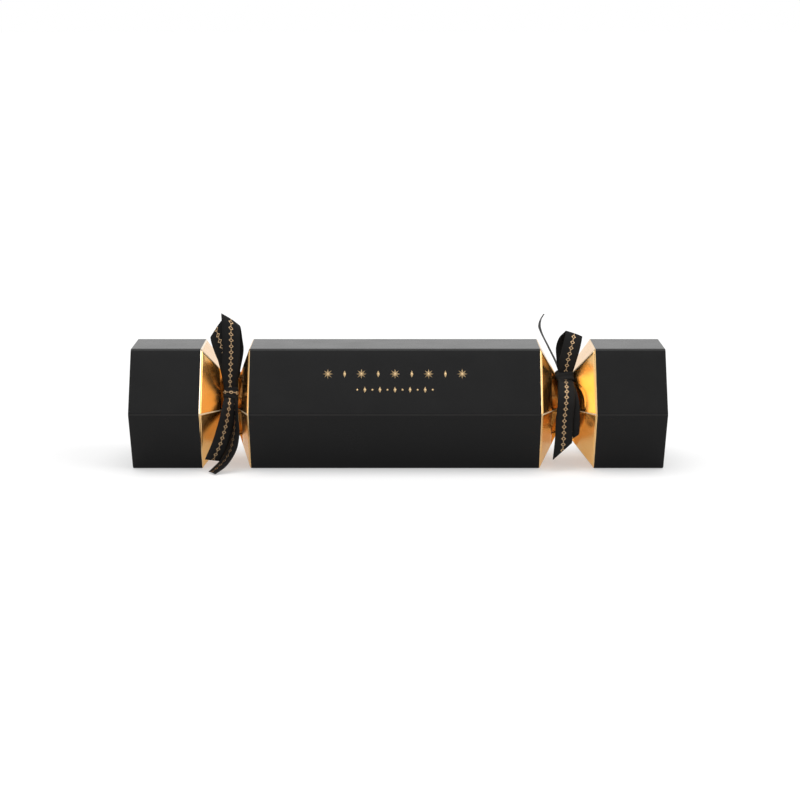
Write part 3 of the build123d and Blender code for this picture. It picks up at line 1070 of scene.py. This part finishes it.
def white_floor():
    """A wide pale floor that keeps the shadow and fades to the white background."""
    bm = bmesh.new()
    bmesh.ops.create_circle(bm, cap_ends=True, segments=64, radius=FLOOR_RADIUS)
    mesh = bpy.data.meshes.new("floor")
    bm.to_mesh(mesh)
    bm.free()
    floor = bpy.data.objects.new("floor", mesh)
    bpy.context.collection.objects.link(floor)
    material = bpy.data.materials.new("floor white")
    material.use_nodes = True
    tree = material.node_tree
    tree.nodes.remove(tree.nodes["Principled BSDF"])
    matt = tree.nodes.new("ShaderNodeBsdfDiffuse")
    matt.inputs["Color"].default_value = hue(FLOOR_GREY, FLOOR_GREY, FLOOR_GREY)
    glow = tree.nodes.new("ShaderNodeEmission")
    tree.links.new(scaled(tree, seen_white(tree), FLOOR_GLOW, 0), glow.inputs["Strength"])
    both = tree.nodes.new("ShaderNodeAddShader")
    tree.links.new(matt.outputs[0], both.inputs[0])
    tree.links.new(glow.outputs[0], both.inputs[1])
    tree.links.new(both.outputs[0], tree.nodes["Material Output"].inputs["Surface"])
    mesh.materials.append(material)


def white_world():
    """White where it is seen or mirrored, and dimmer as a light."""
    world = bpy.data.worlds.new("studio")
    bpy.context.scene.world = world
    world.use_nodes = True
    tree = world.node_tree
    backdrop = tree.nodes["Background"]
    backdrop.inputs["Color"].default_value = hue(1, 1, 1)
    strength = scaled(tree, seen_white(tree), 1 - UNSEEN_WORLD, UNSEEN_WORLD)
    tree.links.new(strength, backdrop.inputs["Strength"])


def soft_sun(name, rise, turn, spread, power):
    """A broad, even light from a rise above the horizon, turned from the camera's side."""
    lamp = bpy.data.lights.new(name, "SUN")
    lamp.energy = power
    lamp.angle = radians(spread)
    holder = bpy.data.objects.new(name, lamp)
    holder.rotation_euler = (radians(90 - rise), 0, radians(turn))
    bpy.context.collection.objects.link(holder)


def studio():
    place_camera()
    white_floor()
    white_world()
    soft_sun("overhead", rise=80, turn=-20, spread=50, power=1.5)
    soft_sun("side", rise=38, turn=61, spread=40, power=0.7)
    bpy.context.scene.view_settings.view_transform = "Standard"


def cracker():
    """The card, the foil, the ribbons and the ornament."""
    inside = plain_card()
    foil = gold_foil()
    gold_start, gold_end = HALF_BARREL - GOLD_MARGIN, HALF_BARREL + EDGE_OVERRUN
    strips = [(-gold_end, -gold_start), (gold_start, gold_end)]
    barrel([printed_card("barrel card", strips, EDGE_GOLD), inside])
    for side, sign in SIDES.items():
        near, _ = end_span(side)
        strip = sorted((near - sign * EDGE_OVERRUN, near + sign * GOLD_MARGIN))
        # The left grip's gold strip is painted pale on its upper half: a painted highlight
        lit_upper_gold = WORN_AND_HIGHLIGHT_GOLD if side == "left" else EDGE_GOLD
        grip(side, [printed_card(f"{side} grip card", [strip], lit_upper_gold), inside])
        neck(side, foil, inside)
    ribbon = [satin_ribbon("ribbon face", True), satin_ribbon("ribbon back", False)]
    tied_ribbon("left", LEFT_RUNS, LEFT_KNOT, ribbon)
    tied_ribbon("right", RIGHT_RUNS, RIGHT_KNOT, ribbon)
    panel_ornament(stamped_gold())


def contents():
    """The gift, the snap and the papers inside."""
    finishes = {
        "glass": jar_glass(), "wax": candle_wax(),
        "wick": braided_cotton(), "sustainer": stamped_metal(),
    }
    for number in (1, 2, 3):
        candle(number, finishes)
    kraft = snap_card()
    for side in SIDES:
        dress(f"{side}_snap_strip", kraft)
    sleeve = paper(
        "snap paper", hue(0.62, 0.56, 0.46), hue(0.78, 0.74, 0.65),
        roughness=0.7, crease=0.08 * MM,
    )
    dress("snap_sleeve", sleeve)
    tissue = paper(
        "crown tissue", hue(0.58, 0.37, 0.10), hue(0.74, 0.52, 0.19),
        roughness=0.42, crease=0.2 * MM,
    )
    rolled_sheet(
        "crown_roll", "paper_crown", tissue, "paper_crown_roll",
        turns=4, points=3,
    )
    slip = paper(
        "motto paper", hue(0.78, 0.76, 0.70), hue(0.90, 0.89, 0.84),
        roughness=0.65, crease=0.06 * MM,
    )
    rolled_sheet("motto_slip", "motto", slip, "motto_roll", turns=4, points=0)


studio()
cracker()
contents()
